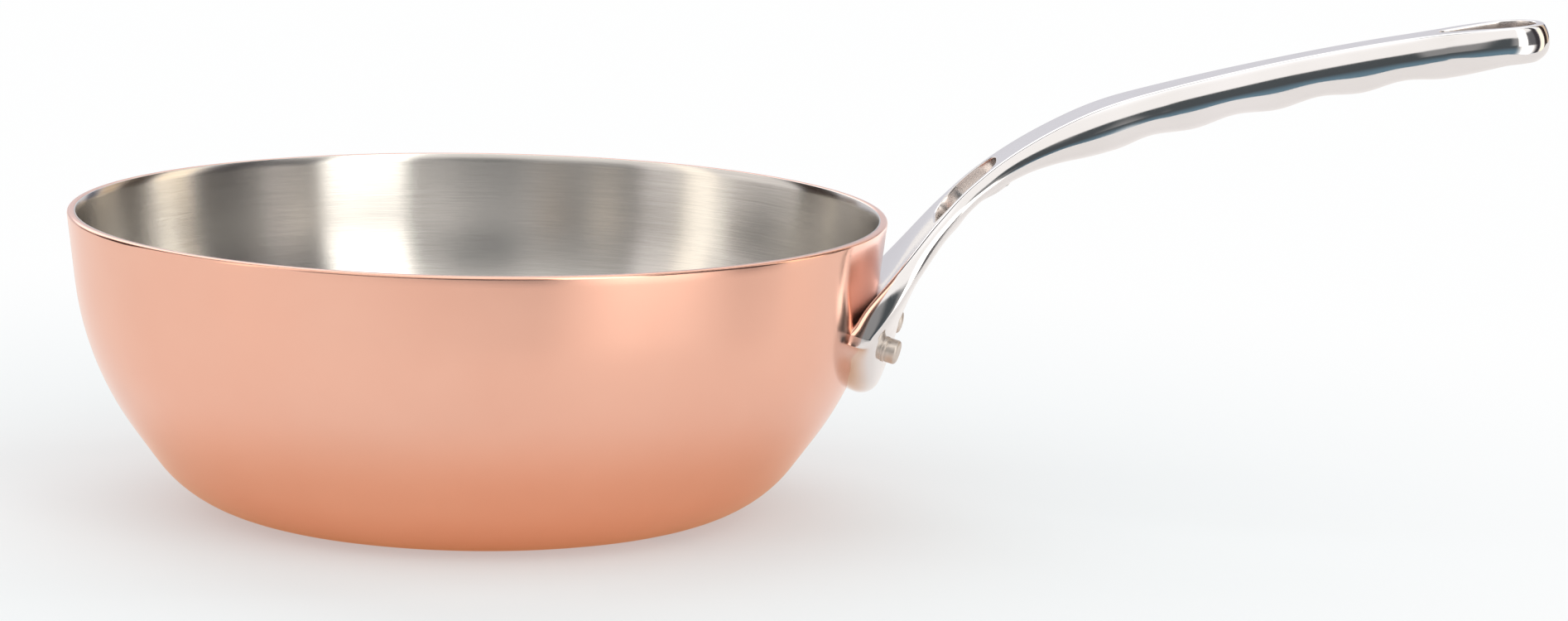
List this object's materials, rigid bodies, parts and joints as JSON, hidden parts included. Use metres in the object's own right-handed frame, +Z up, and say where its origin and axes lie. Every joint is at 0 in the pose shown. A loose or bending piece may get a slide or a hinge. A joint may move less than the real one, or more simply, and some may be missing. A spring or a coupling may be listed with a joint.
{
  "type": "conical saucepan",
  "caption": "Flared copper saucepan with a steel lining, a flat base, and a long cast steel handle riveted to the wall, with a window in its neck and a hanging slot.",
  "frame": {"origin": "centre of the flat underside of the base, on the surface that the pan stands on", "axes": "+X along the handle, +Y to its left as seen from the bowl, +Z up towards the rim"},
  "size_m": [0.4302, 0.2398, 0.1511],
  "materials": {
    "copper": "mirror-polished copper",
    "lining_steel": "fine brushing round the bowl",
    "cast_steel": "mirror-polished cast stainless steel",
    "rivet_steel": "satin, lightly hammered"
  },
  "bodies": {
    "root": {"copper_shell": "copper", "steel_lining": "lining_steel", "handle": "cast_steel", "rivet_near": "rivet_steel", "rivet_far": "rivet_steel"}
  },
  "joints": []
}
